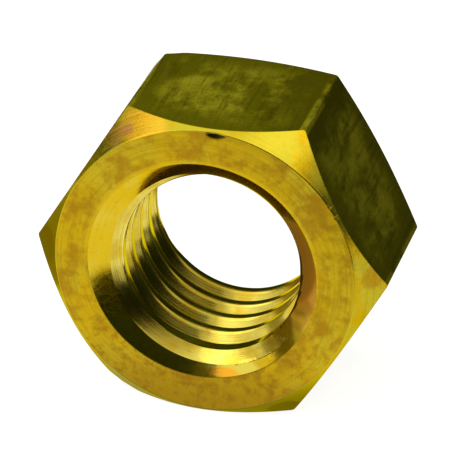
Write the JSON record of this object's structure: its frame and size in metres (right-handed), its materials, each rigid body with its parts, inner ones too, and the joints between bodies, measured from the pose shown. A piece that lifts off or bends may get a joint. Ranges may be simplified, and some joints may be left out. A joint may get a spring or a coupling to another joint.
{
  "type": "hex nut",
  "caption": "Brass hex nut with a right-hand metric thread, countersunk bore, flat bearing faces and chamfered corners.",
  "frame": {"origin": "on the thread axis, half way between the two bearing faces", "axes": "+Y along the thread axis from the front bearing face to the rear one, +Z square to the uppermost of the six flats, with the nut standing on the opposite flat"},
  "size_m": [0.0208, 0.0104, 0.018],
  "materials": {
    "brass": "turned and drawn, lightly tarnished"
  },
  "bodies": {
    "root": {"nut_body": "brass"}
  },
  "joints": []
}
